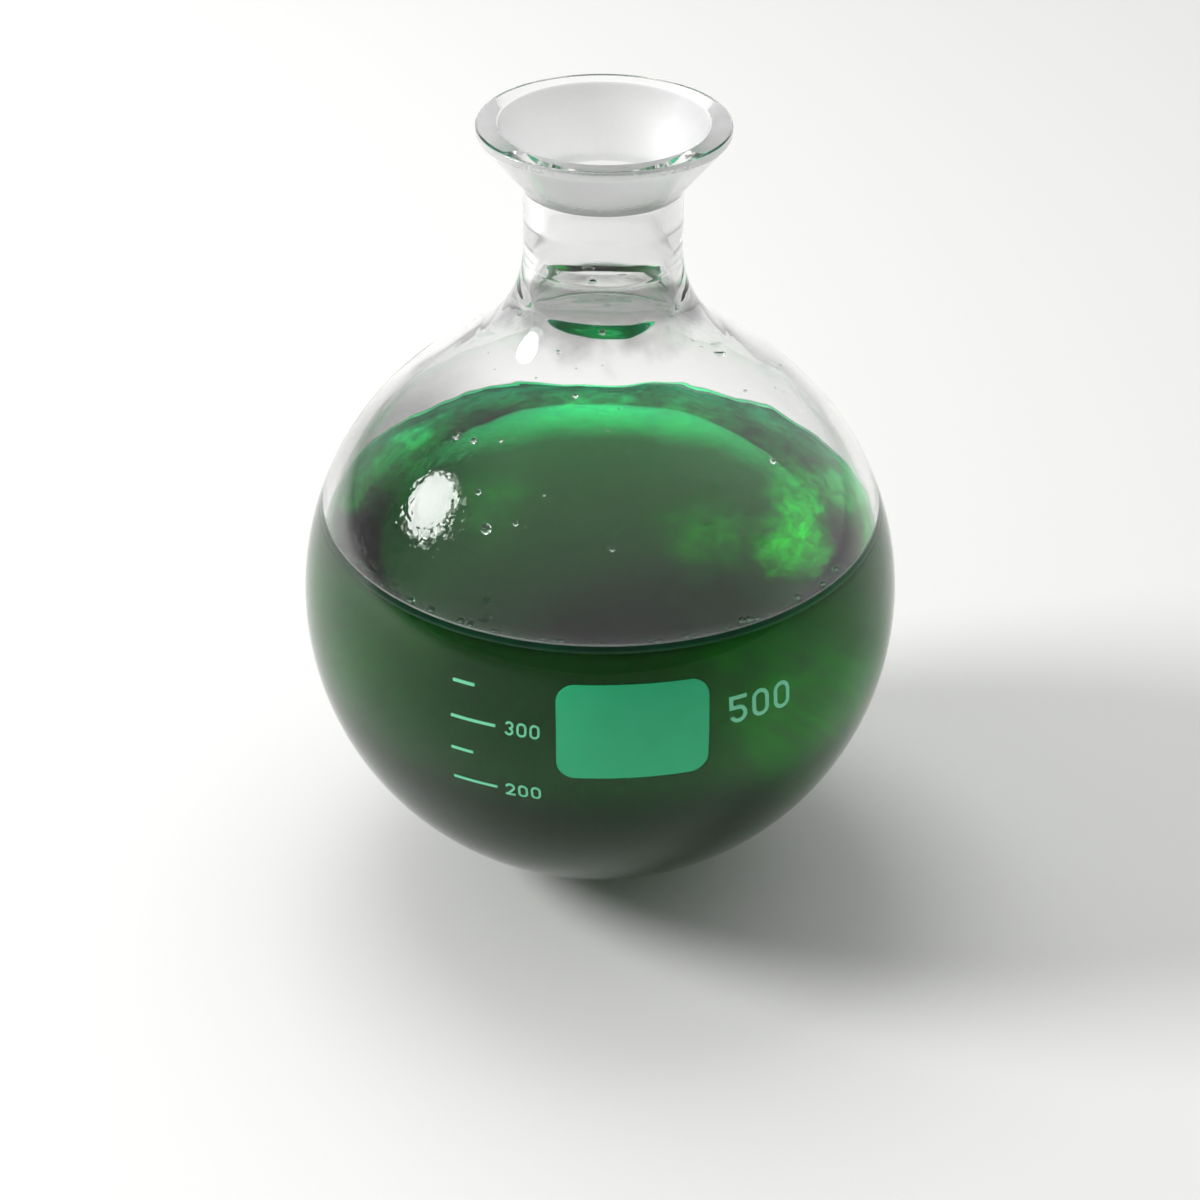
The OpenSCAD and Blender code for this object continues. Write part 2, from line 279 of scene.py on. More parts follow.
def painted_wall_glow(tree, place, height, wetted):
    """Painted glow: how strongly the liquid's far wall, seen from inside, glows as if lit by light that has
    crossed the liquid.
    """
    # It makes a broken band below the level, a faint one above that, and patches with ragged outlines.
    band = add_node(tree, "ShaderNodeMapRange", {"Value": height, "From Min": BAND_SETS_IN[0],
                                                 "From Max": BAND_SETS_IN[1], "To Max": BAND_STRENGTH},
                    interpolation_type="SMOOTHSTEP")
    dimmed = add_node(tree, "ShaderNodeMapRange", {"Value": height, "From Min": BAND_DIMS[0],
                                                   "From Max": BAND_DIMS[1]},
                      interpolation_type="SMOOTHSTEP")
    glow = add_node(tree, "ShaderNodeMath", {0: band.outputs["Result"], 1: dimmed.outputs["Result"]},
                    operation="MULTIPLY").outputs[0]
    broken = add_node(tree, "ShaderNodeTexNoise", {"Vector": place, "Scale": 1 / (26 * MM), "Detail": 4.0,
                                                   "Roughness": 0.6, "Distortion": 0.4})
    broken = add_node(tree, "ShaderNodeMapRange", {"Value": broken.outputs["Fac"], "From Min": 0.4,
                                                   "From Max": 0.62, "To Min": 0.25, "To Max": 1.3})
    glow = add_node(tree, "ShaderNodeMath", {0: glow, 1: broken.outputs["Result"]},
                    operation="MULTIPLY").outputs[0]
    upper = add_node(tree, "ShaderNodeMapRange", {"Value": height, "From Min": UPPER_SETS_IN[0],
                                                  "From Max": UPPER_SETS_IN[1], "To Max": UPPER_STRENGTH})
    glow = add_node(tree, "ShaderNodeMath", {0: glow, 1: upper.outputs["Result"]},
                    operation="ADD").outputs[0]
    ragged = add_node(tree, "ShaderNodeTexNoise", {"Vector": place, "Scale": 1 / (9 * MM), "Detail": 2.5,
                                                   "Distortion": 0.6})
    shift = add_node(tree, "ShaderNodeVectorMath", {0: ragged.outputs["Color"], 1: (0.5, 0.5, 0.5)},
                     operation="SUBTRACT")
    shift = add_node(tree, "ShaderNodeVectorMath", {0: shift.outputs[0], "Scale": GLOW_STRAYS},
                     operation="SCALE")
    shifted = add_node(tree, "ShaderNodeVectorMath", {0: place, 1: shift.outputs[0]},
                       operation="ADD").outputs[0]
    for spot in GLOW_PATCHES:
        glow = add_node(tree, "ShaderNodeMath", {0: glow, 1: soft_patch(tree, shifted, *spot)},
                        operation="ADD").outputs[0]
    mottled = add_node(tree, "ShaderNodeTexNoise", {"Vector": place, "Scale": 1 / (5 * MM), "Detail": 3.0,
                                                    "Roughness": 0.7, "Distortion": 0.5})
    mottled = add_node(tree, "ShaderNodeMapRange", {"Value": mottled.outputs["Fac"], "From Min": 0.4,
                                                    "From Max": 0.6, "To Min": 0.6, "To Max": 1.45})
    inside = add_node(tree, "ShaderNodeNewGeometry").outputs["Backfacing"]
    for share in (mottled.outputs["Result"], wetted, inside):
        glow = add_node(tree, "ShaderNodeMath", {0: glow, 1: share}, operation="MULTIPLY").outputs[0]
    return glow


def make_green_solution():
    # A clear dye dissolved in water: it swallows red at once, then blue, and green last of all.
    material, tree, output = new_material("green_dye_in_water")
    # Against the glass it wets, its skin doesn't shine. The finish is 1 there and 0 on the open surface.
    wetted = add_node(tree, "ShaderNodeAttribute", attribute_name="finish").outputs["Fac"]
    shine = add_node(tree, "ShaderNodeMath", {0: 1.0, 1: wetted}, operation="SUBTRACT").outputs[0]
    place = add_node(tree, "ShaderNodeTexCoord").outputs["Object"]
    height = add_node(tree, "ShaderNodeSeparateXYZ", {0: place}).outputs["Z"]

    # Painted shade: the lower half of the liquid's wall is tinted darker, so it lets less light through. The
    # rim of liquid that climbs the glass is tinted darker too.
    painted_shade = add_node(tree, "ShaderNodeMapRange", {"Value": height, "From Min": LOWER_SHADE_HEIGHTS[0],
                                                    "From Max": LOWER_SHADE_HEIGHTS[1]},
                       interpolation_type="SMOOTHSTEP")
    climbing = add_node(tree, "ShaderNodeMapRange", {"Value": height, "From Min": RIM_CLIMBS[0],
                                                     "From Max": RIM_CLIMBS[1]})
    dark = add_node(tree, "ShaderNodeMath", {0: painted_shade.outputs["Result"], 1: climbing.outputs["Result"]},
                    operation="MAXIMUM")
    dark = add_node(tree, "ShaderNodeMath", {0: dark.outputs[0], 1: wetted}, operation="MULTIPLY")
    shade_tint = add_node(tree, "ShaderNodeMix", {"Factor": dark.outputs[0], "A": srgb("#FFFFFF"),
                                             "B": srgb("#38594D")}, data_type="RGBA")

    wavelets = add_node(tree, "ShaderNodeTexNoise", {"Vector": place, "Scale": 1 / (5 * MM), "Detail": 2.0})
    bump = add_node(tree, "ShaderNodeBump", {"Height": wavelets.outputs["Fac"], "Strength": shine,
                                             "Distance": 0.12 * MM})
    # Painted glow: the wall gives off green light of its own where light that crossed the liquid would fall.
    glow = painted_wall_glow(tree, place, height, wetted)
    surface = add_node(tree, "ShaderNodeBsdfPrincipled", {
        "Base Color": shade_tint.outputs[2], "Roughness": 0.0, "IOR": WATER_IOR, "Transmission Weight": 0.985,
        "Specular Tint": shine, "Emission Color": srgb("#19996C"), "Emission Strength": glow,
        "Normal": bump.outputs["Normal"]})
    dye = add_node(tree, "ShaderNodeVolumeAbsorption", {"Color": srgb("#00F0D2"), "Density": DYE_DENSITY})
    tree.links.new(surface.outputs["BSDF"], output.inputs["Surface"])
    tree.links.new(dye.outputs["Volume"], output.inputs["Volume"])
    return material


def make_condensed_water():
    # Clean water in drops: clear and glossy, each drop a small lens with a dark rim.
    material, tree, output = new_material("condensed_water")
    place = add_node(tree, "ShaderNodeTexCoord").outputs["Object"]
    film = add_node(tree, "ShaderNodeTexNoise", {"Vector": place, "Scale": 1 / (0.6 * MM)})
    bump = add_node(tree, "ShaderNodeBump", {"Height": film.outputs["Fac"], "Strength": 0.3,
                                             "Distance": 0.05 * MM})
    skin = add_node(tree, "ShaderNodeBsdfPrincipled", {
        "Base Color": srgb("#EEF6F2"), "Roughness": 0.0, "IOR": WATER_IOR, "Transmission Weight": 1.0,
        "Normal": bump.outputs["Normal"]})
    tree.links.new(skin.outputs["BSDF"], output.inputs["Surface"])
    return material


def make_fired_enamel(name, colour, dark):
    # Glass enamel screen printed and fired: satin, with the screen's faint unevenness.
    material, tree, output = new_material(name)
    place = add_node(tree, "ShaderNodeTexCoord").outputs["Object"]
    wash = add_node(tree, "ShaderNodeTexNoise", {"Vector": place, "Scale": 1 / (5 * MM), "Detail": 3.0})
    grain = add_node(tree, "ShaderNodeTexNoise", {"Vector": place, "Scale": 1 / (0.25 * MM), "Detail": 2.0})
    tint = add_node(tree, "ShaderNodeMix", {"Factor": wash.outputs["Fac"], "A": srgb(colour),
                                            "B": srgb(dark)}, data_type="RGBA")
    bump = add_node(tree, "ShaderNodeBump", {"Height": grain.outputs["Fac"], "Strength": 0.2,
                                             "Distance": 0.03 * MM})
    skin = add_node(tree, "ShaderNodeBsdfPrincipled", {
        "Base Color": tint.outputs[2], "Roughness": 0.35, "IOR": 1.5, "Normal": bump.outputs["Normal"]})
    tree.links.new(skin.outputs["BSDF"], output.inputs["Surface"])
    return material


def make_floor_paper():
    # Matt white background paper.
    material, tree, output = new_material("background_paper")
    skin = add_node(tree, "ShaderNodeBsdfPrincipled", {
        "Base Color": srgb("#F4F4F2"), "Roughness": 0.9, "Specular IOR Level": 0.2})
    tree.links.new(skin.outputs["BSDF"], output.inputs["Surface"])
    return material


GLASS = make_borosilicate_glass("blown_borosilicate_glass", "#B4B4B4")
# Where the solution wets the glass, the face between the two hardly shines.
WETTED = make_borosilicate_glass("wetted_borosilicate_glass", "#000000")
GROUND = make_ground_glass()
SOLUTION = make_green_solution()
WATER = make_condensed_water()
ENAMEL_FIELD = make_fired_enamel("fired_enamel_field", "#12C486", "#0CB878")
ENAMEL_PRINT = make_fired_enamel("fired_enamel_print", "#7FE0B4", "#6FD8A8")
PAPER = make_floor_paper()


# ---------------------------------------------------------------- outlines
def arc(centre, radius, start, end, spacing=POINT_SPACING):
    """Points along an arc in the XZ plane, its angles in degrees from +X."""
    count = max(4, math.ceil(abs(end - start) * math.pi / 180 * radius / spacing))
    angles = [math.radians(start + (end - start) * i / count) for i in range(count + 1)]
    return [(centre[0] + radius * math.cos(a), centre[1] + radius * math.sin(a)) for a in angles]


def straight(start, end, spacing=POINT_SPACING):
    """Points along a straight line in the XZ plane."""
    count = max(2, math.ceil(math.dist(start, end) / spacing))
    return [tuple(start[k] + (end[k] - start[k]) * i / count for k in (0, 1)) for i in range(count + 1)]


def fillet(before, corner, after, cut):
    """Points that round a corner, starting at the distance cut on either side of it."""
    first = [corner[k] + (before[k] - corner[k]) * cut / math.dist(before, corner) for k in (0, 1)]
    last = [corner[k] + (after[k] - corner[k]) * cut / math.dist(after, corner) for k in (0, 1)]
    shares = [i / ROUND_STEPS for i in range(ROUND_STEPS + 1)]
    return [tuple((1 - t) ** 2 * first[k] + 2 * t * (1 - t) * corner[k] + t ** 2 * last[k] for k in (0, 1))
            for t in shares]


def shell_line(bulb_r, neck_r, flare_r):
    """One wall of the blown body from its pole up to where the neck runs straight."""
    slope = math.radians(SHOULDER_SLOPE)
    touch = (bulb_r * math.sin(slope), CENTRE_Z + bulb_r * math.cos(slope))
    flare_x = neck_r + flare_r
    flare_z = touch[1] + (flare_r - (flare_x - touch[0]) * math.sin(slope)) / math.cos(slope)
    join = (flare_x - flare_r * math.sin(slope), flare_z - flare_r * math.cos(slope))
    return (arc((0, CENTRE_Z), bulb_r, -90, 90 - SHOULDER_SLOPE) + straight(touch, join)
            + arc((flare_x, flare_z), flare_r, 270 - SHOULDER_SLOPE, 180, FINE_SPACING))


def with_weld_line(line):
    """The outside's line with the weld's fine groove cut into it."""
    half = WELD_LINE_WIDTH / 2
    below = [point for point in line if point[1] < WELD_Z - half]
    above = [point for point in line if point[1] > WELD_Z + half]
    gap = math.dist(below[-1], above[0])
    at = [below[-1][0] + (above[0][0] - below[-1][0]) * (z - below[-1][1]) / gap
          for z in (WELD_Z - half, WELD_Z, WELD_Z + half)]
    groove = [(at[0], WELD_Z - half), (at[1] - WELD_LINE_DEPTH, WELD_Z), (at[2], WELD_Z + half)]
    return below + groove + above


def joined(*runs):
    """Runs of points made one line, without the points that two runs share."""
    line = []
    for run in runs:
        for point in run:
            if not line or math.dist(point, line[-1]) > SAME_POINT:
                line.append(point)
    return line


def glass_outline():
    """The flask's section from the outer pole over the rim to the inner pole, in three runs."""
    ball_z = RIM_Z + math.sqrt(BALL_R ** 2 - MOUTH_R ** 2)
    throat_z = ball_z - math.sqrt(BALL_R ** 2 - BORE_R ** 2)
    widen_z = throat_z - BORE_LENGTH
    cup_z = RIM_Z - CUP_HEIGHT
    outer = with_weld_line(shell_line(BULB_R, NECK_R, FLARE_R))
    inner = shell_line(BULB_R - WALL, NECK_R - WALL, FLARE_R + WALL)

    cup = (NECK_R, cup_z)
    lip = (RIM_R, RIM_Z - RIM_ROUND - RIM_EDGE)
    edge = (RIM_R, RIM_Z)
    mouth = (MOUTH_R, RIM_Z)
    seat_start = math.degrees(math.atan2(mouth[1] - ball_z, mouth[0]))
    seat_end = math.degrees(math.atan2(throat_z - ball_z, BORE_R))
    seat = arc((0, ball_z), BALL_R, seat_start, seat_end)
    throat = (BORE_R, throat_z)
    widen = (BORE_R, widen_z)

    cup_round = fillet(outer[-1], cup, lip, CUP_ROUND)
    lip_round = fillet(cup, lip, edge, LIP_ROUND)
    edge_round = fillet(lip, edge, mouth, RIM_ROUND)
    mouth_round = fillet(edge, mouth, seat[1], MOUTH_ROUND)
    throat_round = fillet(seat[-2], throat, widen, THROAT_ROUND)
    widen_round = fillet(throat, widen, inner[-1], WIDEN_ROUND)

    # The ground seat starts and ends in the middle of a rounding.
    half = ROUND_STEPS // 2
    outside = joined(outer, straight(outer[-1], cup_round[0]), cup_round,
                     straight(cup_round[-1], lip_round[0]), lip_round,
                     straight(lip_round[-1], edge_round[0]), edge_round,
                     straight(edge_round[-1], mouth_round[0]), mouth_round[:half + 1])
    seat_face = joined(mouth_round[half:], seat[1:-1], throat_round[:half + 1])
    inside = joined(throat_round[half:], straight(throat_round[-1], widen_round[0]), widen_round,
                    straight(widen_round[-1], inner[-1]), inner[::-1])
    return outside, seat_face, inside


def line_mesh(name, points, **marks):
    """A mesh of loose points that a tree reads as an outline, with a number at each for every mark."""
    mesh = bpy.data.meshes.new(name)
    mesh.from_pydata([(x, 0, z) for x, z in points], [], [])
    for mark, values in marks.items():
        attribute = mesh.attributes.new(mark, "FLOAT", "POINT")
        attribute.data.foreach_set("value", values)
    return mesh


# ---------------------------------------------------------------- trees
# The numbers that a point of an outline carries: how much its skin ripples, whether it is on the inside
# that thickens to a ring, and the number of its finish.
MARKS = ("ripple", "ring", "finish")


def new_tree(name, **sockets):
    """A geometry tree with one geometry input, the named inputs given with their kinds, and its output."""
    tree = bpy.data.node_groups.new(name, "GeometryNodeTree")
    tree.interface.new_socket("Geometry", in_out="INPUT", socket_type="NodeSocketGeometry")
    for label, kind in sockets.items():
        tree.interface.new_socket(label.replace("_", " "), in_out="INPUT", socket_type="NodeSocket" + kind)
    tree.interface.new_socket("Geometry", in_out="OUTPUT", socket_type="NodeSocketGeometry")
    return tree, tree.nodes.new("NodeGroupInput"), tree.nodes.new("NodeGroupOutput")


def ring_shift(tree, given, place):
    """How far each point of the inside moves towards the axis where the glass thickens to a ring."""
    flat = add_node(tree, "ShaderNodeVectorMath", {0: place, 1: (1, 1, 0)}, operation="MULTIPLY")
    out = add_node(tree, "ShaderNodeVectorMath", {0: flat.outputs[0]}, operation="NORMALIZE")
    height = add_node(tree, "ShaderNodeSeparateXYZ", {0: place}).outputs["Z"]
    facing = add_node(tree, "ShaderNodeSeparateXYZ", {0: out.outputs[0]}).outputs["Y"]

    # The ring's middle tilts and sways. It swells from there as a bell, steeper above than below.
    sway = add_node(tree, "ShaderNodeTexNoise", {"Vector": place, "Scale": 1 / RING_SWAY_SIZE, "Detail": 1.0})
    sway = add_node(tree, "ShaderNodeMapRange", {"Value": sway.outputs["Fac"], "To Min": -RING_SWAY,
                                                 "To Max": RING_SWAY})
    tilt = add_node(tree, "ShaderNodeMath", {0: facing, 1: given.outputs["Ring Tilt"]},
                    operation="MULTIPLY")
    middle = add_node(tree, "ShaderNodeMath", {0: given.outputs["Ring Z"], 1: tilt.outputs[0]},
                      operation="ADD")
    middle = add_node(tree, "ShaderNodeMath", {0: middle.outputs[0], 1: sway.outputs[0]}, operation="ADD")
    away = add_node(tree, "ShaderNodeMath", {0: height, 1: middle.outputs[0]}, operation="SUBTRACT")
    above = add_node(tree, "ShaderNodeMath", {0: away.outputs[0], 1: given.outputs["Ring Above"]},
                     operation="DIVIDE")
    below = add_node(tree, "ShaderNodeMath", {0: away.outputs[0], 1: given.outputs["Ring Below"]},
                     operation="DIVIDE")
    below = add_node(tree, "ShaderNodeMath", {0: below.outputs[0], 1: -1.0}, operation="MULTIPLY")
    far = add_node(tree, "ShaderNodeMath", {0: above.outputs[0], 1: below.outputs[0]}, operation="MAXIMUM")
    far = add_node(tree, "ShaderNodeMath", {0: far.outputs[0], 1: 2.0}, operation="POWER")
    far = add_node(tree, "ShaderNodeMath", {0: far.outputs[0], 1: -1.0}, operation="MULTIPLY")
    swell = add_node(tree, "ShaderNodeMath", {0: far.outputs[0]}, operation="EXPONENT")

    # The ring fades towards both sides, and more so in front. It is thicker at the back.
    aside = add_node(tree, "ShaderNodeMath", {0: facing, 1: 2.0}, operation="POWER")
    aside = add_node(tree, "ShaderNodeMath", {0: 1.0, 1: aside.outputs[0]}, operation="SUBTRACT")
    fading = add_node(tree, "ShaderNodeMapRange", {"Value": facing, "From Min": -1.0, "From Max": 1.0,
                                                   "To Min": RING_FADE_FRONT, "To Max": RING_FADE_BACK})
    fading = add_node(tree, "ShaderNodeMath", {0: fading.outputs[0], 1: aside.outputs[0]},
                      operation="MULTIPLY")
    proud = add_node(tree, "ShaderNodeMath", {0: 1.0, 1: fading.outputs[0]},
                     operation="SUBTRACT").outputs[0]
    thicker = add_node(tree, "ShaderNodeMapRange", {"Value": facing, "From Min": -1.0, "From Max": 1.0,
                                                    "To Min": 1.0, "To Max": RING_BACK_SHARE})
    inside = add_node(tree, "GeometryNodeInputNamedAttribute", {"Name": "ring"}, data_type="FLOAT")
    for share in (thicker.outputs["Result"], given.outputs["Ring Proud"], swell.outputs[0],
                  inside.outputs[0], -1.0):
        proud = add_node(tree, "ShaderNodeMath", {0: proud, 1: share}, operation="MULTIPLY").outputs[0]
    shift = add_node(tree, "ShaderNodeVectorMath", {0: out.outputs[0], "Scale": proud}, operation="SCALE")
    return shift.outputs[0]


def swept_skin(tree, given, place):
    """The outline turned round the Z axis as a closed skin that carries the outline's marks."""
    rows = add_node(tree, "GeometryNodeAttributeDomainSize", {"Geometry": given.outputs["Geometry"]})
    columns = add_node(tree, "ShaderNodeMath", {0: given.outputs["Segments"], 1: 1.0}, operation="ADD")
    grid = add_node(tree, "GeometryNodeMeshGrid", {"Vertices X": columns.outputs[0],
                                                   "Vertices Y": rows.outputs["Point Count"]})
    index = add_node(tree, "GeometryNodeInputIndex")
    row = add_node(tree, "ShaderNodeMath", {0: index.outputs[0], 1: rows.outputs["Point Count"]},
                   operation="MODULO")
    column = add_node(tree, "ShaderNodeMath", {0: index.outputs[0], 1: rows.outputs["Point Count"]},
                      operation="DIVIDE")
    column = add_node(tree, "ShaderNodeMath", {0: column.outputs[0]}, operation="FLOOR")
    share = add_node(tree, "ShaderNodeMath", {0: column.outputs[0], 1: given.outputs["Segments"]},
                     operation="DIVIDE")
    angle = add_node(tree, "ShaderNodeMath", {0: share.outputs[0], 1: 2 * math.pi}, operation="MULTIPLY")
    point = add_node(tree, "GeometryNodeSampleIndex", {
        "Geometry": given.outputs["Geometry"], "Value": place, "Index": row.outputs[0]},
        data_type="FLOAT_VECTOR")
    turned = add_node(tree, "ShaderNodeVectorRotate", {"Vector": point.outputs[0],
                                                       "Angle": angle.outputs[0]}, rotation_type="Z_AXIS")
    marked = grid.outputs["Mesh"]
    for mark in MARKS:
        read = add_node(tree, "GeometryNodeInputNamedAttribute", {"Name": mark}, data_type="FLOAT")
        sample = add_node(tree, "GeometryNodeSampleIndex", {
            "Geometry": given.outputs["Geometry"], "Value": read.outputs[0], "Index": row.outputs[0]},
            data_type="FLOAT")
        marked = add_node(tree, "GeometryNodeStoreNamedAttribute", {
            "Geometry": marked, "Name": mark, "Value": sample.outputs[0]},
            data_type="FLOAT", domain="POINT").outputs["Geometry"]
    swept = add_node(tree, "GeometryNodeSetPosition", {"Geometry": marked, "Position": turned.outputs[0]})
    closed = add_node(tree, "GeometryNodeMergeByDistance", {"Geometry": swept.outputs[0],
                                                            "Distance": SAME_POINT})
    return closed.outputs[0]


def ripple_shift(tree, given, place):
    """How far each point moves along its normal, in waves as high as its mark says."""
    ripple = add_node(tree, "GeometryNodeInputNamedAttribute", {"Name": "ripple"}, data_type="FLOAT")
    fine = add_node(tree, "ShaderNodeMath", {0: 1.0, 1: given.outputs["Ripple Size"]}, operation="DIVIDE")
    noise = add_node(tree, "ShaderNodeTexNoise", {
        "Vector": place, "Scale": fine.outputs[0], "W": ripple.outputs[0], "Detail": 1.0},
        noise_dimensions="4D")
    swing = add_node(tree, "ShaderNodeMath", {0: noise.outputs["Fac"], 1: 0.5}, operation="SUBTRACT")
    swing = add_node(tree, "ShaderNodeMath", {0: swing.outputs[0], 1: ripple.outputs[0]},
                     operation="MULTIPLY")
    normal = add_node(tree, "GeometryNodeInputNormal")
    shift = add_node(tree, "ShaderNodeVectorMath", {0: normal.outputs[0], "Scale": swing.outputs[0]},
                     operation="SCALE")
    return shift.outputs[0]


def make_lathe_tree():
    """Turns an outline of points round the Z axis, thickens its ring and ripples its skin as marked."""
    tree, given, output = new_tree("lathe", Segments="Int", Ripple_Size="Float", Ring_Proud="Float",
                                   Ring_Z="Float", Ring_Tilt="Float", Ring_Above="Float", Ring_Below="Float",
                                   Material="Material", Material_1="Material", Material_2="Material")
    place = add_node(tree, "GeometryNodeInputPosition").outputs[0]
    thick = add_node(tree, "GeometryNodeSetPosition", {"Geometry": swept_skin(tree, given, place),
                                                       "Offset": ring_shift(tree, given, place)})
    rippled = add_node(tree, "GeometryNodeSetPosition", {"Geometry": thick.outputs[0],
                                                         "Offset": ripple_shift(tree, given, place)})
    smooth = add_node(tree, "GeometryNodeSetShadeSmooth", {"Geometry": rippled.outputs[0],
                                                           "Shade Smooth": True})
    real = add_node(tree, "GeometryNodeRealizeInstances", {"Geometry": smooth.outputs[0]})
    finished = add_node(tree, "GeometryNodeSetMaterial", {"Geometry": real.outputs[0],
                                                          "Material": given.outputs["Material"]})
    finish = add_node(tree, "GeometryNodeInputNamedAttribute", {"Name": "finish"}, data_type="FLOAT")
    for number in (1, 2):
        chosen = add_node(tree, "FunctionNodeCompare", {0: finish.outputs[0], 1: float(number),
                                                        "Epsilon": 0.1}, operation="EQUAL", data_type="FLOAT")
        finished = add_node(tree, "GeometryNodeSetMaterial", {
            "Geometry": finished.outputs[0], "Selection": chosen.outputs[0],
            "Material": given.outputs[f"Material {number}"]})
    tree.links.new(finished.outputs[0], output.inputs[0])
    return tree


def dry_part(tree, given):
    """Picks out what stays above the liquid when the liquid leans to either side."""
    place = add_node(tree, "GeometryNodeInputPosition")
    axes = add_node(tree, "ShaderNodeSeparateXYZ", {0: place.outputs[0]})
    height = add_node(tree, "ShaderNodeMath", {0: axes.outputs["Z"], 1: CENTRE_Z}, operation="SUBTRACT")
    upright = add_node(tree, "ShaderNodeMath", {0: given.outputs["Sway"]}, operation="COSINE")
    height = add_node(tree, "ShaderNodeMath", {0: height.outputs[0], 1: upright.outputs[0]},
                      operation="MULTIPLY")
    leaning = add_node(tree, "ShaderNodeMath", {0: given.outputs["Sway"]}, operation="SINE")
    aside = add_node(tree, "ShaderNodeMath", {0: axes.outputs["X"]}, operation="ABSOLUTE")
    aside = add_node(tree, "ShaderNodeMath", {0: aside.outputs[0], 1: leaning.outputs[0]},
                     operation="MULTIPLY")
    height = add_node(tree, "ShaderNodeMath", {0: height.outputs[0], 1: aside.outputs[0]},
                      operation="SUBTRACT")
    dry = add_node(tree, "ShaderNodeMath", {0: height.outputs[0], 1: given.outputs["Clear Height"]},
                   operation="GREATER_THAN")
    return dry.outputs[0]


def make_bead_tree():
    """Scatters small drops or bubbles over a face, away from where the liquid comes when it sways."""
    tree, given, output = new_tree("beads", Density="Float", Seed="Int", Smallest="Float", Largest="Float",
                                   Flatness="Float", Sway="Float", Clear_Height="Float", Material="Material")
    points = add_node(tree, "GeometryNodeDistributePointsOnFaces", {
        "Mesh": given.outputs["Geometry"], "Selection": dry_part(tree, given),
        "Density": given.outputs["Density"], "Seed": given.outputs["Seed"]}, distribute_method="RANDOM")

    # Each bead is a ball, squashed and sunk a little into the face. Large ones are rare.
    ball = add_node(tree, "GeometryNodeMeshIcoSphere", {"Radius": 1.0, "Subdivisions": 2})
    smooth = add_node(tree, "GeometryNodeSetShadeSmooth", {"Geometry": ball.outputs["Mesh"],
                                                           "Shade Smooth": True})
    squat = add_node(tree, "ShaderNodeCombineXYZ", {"X": 1.0, "Y": 1.0, "Z": given.outputs["Flatness"]})
    lift = add_node(tree, "ShaderNodeMath", {0: given.outputs["Flatness"], 1: BEAD_LIFT},
                    operation="MULTIPLY")
    lift = add_node(tree, "ShaderNodeCombineXYZ", {"Z": lift.outputs[0]})
    drop = add_node(tree, "GeometryNodeTransform", {
        "Geometry": smooth.outputs[0], "Translation": lift.outputs[0], "Scale": squat.outputs[0]})
    chance = add_node(tree, "FunctionNodeRandomValue", {"Min": 0.0, "Max": 1.0,
                                                        "Seed": given.outputs["Seed"]}, data_type="FLOAT")
    rare = add_node(tree, "ShaderNodeMath", {0: chance.outputs["Value"], 1: BEAD_RARITY},
                    operation="POWER")
    size = add_node(tree, "ShaderNodeMapRange", {"Value": rare.outputs[0],
                                                 "To Min": given.outputs["Smallest"],
                                                 "To Max": given.outputs["Largest"]})
    size = add_node(tree, "ShaderNodeCombineXYZ", {"X": size.outputs["Result"], "Y": size.outputs["Result"],
                                                   "Z": size.outputs["Result"]})
    drops = add_node(tree, "GeometryNodeInstanceOnPoints", {
        "Points": points.outputs["Points"], "Instance": drop.outputs[0],
        "Rotation": points.outputs["Rotation"], "Scale": size.outputs[0]})
    real = add_node(tree, "GeometryNodeRealizeInstances", {"Geometry": drops.outputs[0]})
    finished = add_node(tree, "GeometryNodeSetMaterial", {"Geometry": real.outputs[0],
                                                          "Material": given.outputs["Material"]})
    tree.links.new(finished.outputs[0], output.inputs[0])
    return tree


def grown(name, seed_mesh, tree, values):
    """Runs a tree on a mesh and returns the result as an object with a plain mesh."""
    piece = bpy.data.objects.new(name, seed_mesh)
    bpy.context.scene.collection.objects.link(piece)
    modifier = piece.modifiers.new("shape", "NODES")
    modifier.node_group = tree
    keys = {s.name: s.identifier for s in tree.interface.items_tree
            if s.item_type == "SOCKET" and s.in_out == "INPUT"}
    for label, value in values.items():
        modifier[keys[label]] = value
    graph = bpy.context.evaluated_depsgraph_get()
    mesh = bpy.data.meshes.new_from_object(piece.evaluated_get(graph), preserve_all_data_layers=True,
                                           depsgraph=graph)
    piece.modifiers.remove(modifier)
    piece.data = mesh
    # The finish stays, because the liquid's material reads it.
    for mark in ("ripple", "ring"):
        if mark in mesh.attributes:
            mesh.attributes.remove(mesh.attributes[mark])
    return piece


LATHE = make_lathe_tree()
BEADS = make_bead_tree()


# ---------------------------------------------------------------- the flask
# What the lathe needs to know of the wall, for the flask and for the face that the drops lie on.
WALL_SHAPE = {"Segments": SEGMENTS, "Ripple Size": WALL_RIPPLE_SIZE, "Ring Proud": RING_PROUD,
              "Ring Z": RING_Z, "Ring Tilt": RING_TILT, "Ring Above": RING_ABOVE, "Ring Below": RING_BELOW}


def ripple_height(point):
    """Height of the ripples in the wall at a point of the outline."""
    rise = (point[1] - LEVEL_Z) / (WELD_Z - LEVEL_Z)
    return 0.0 if rise < 0 or rise > 1 else WALL_RIPPLE * math.sin(math.pi * rise)


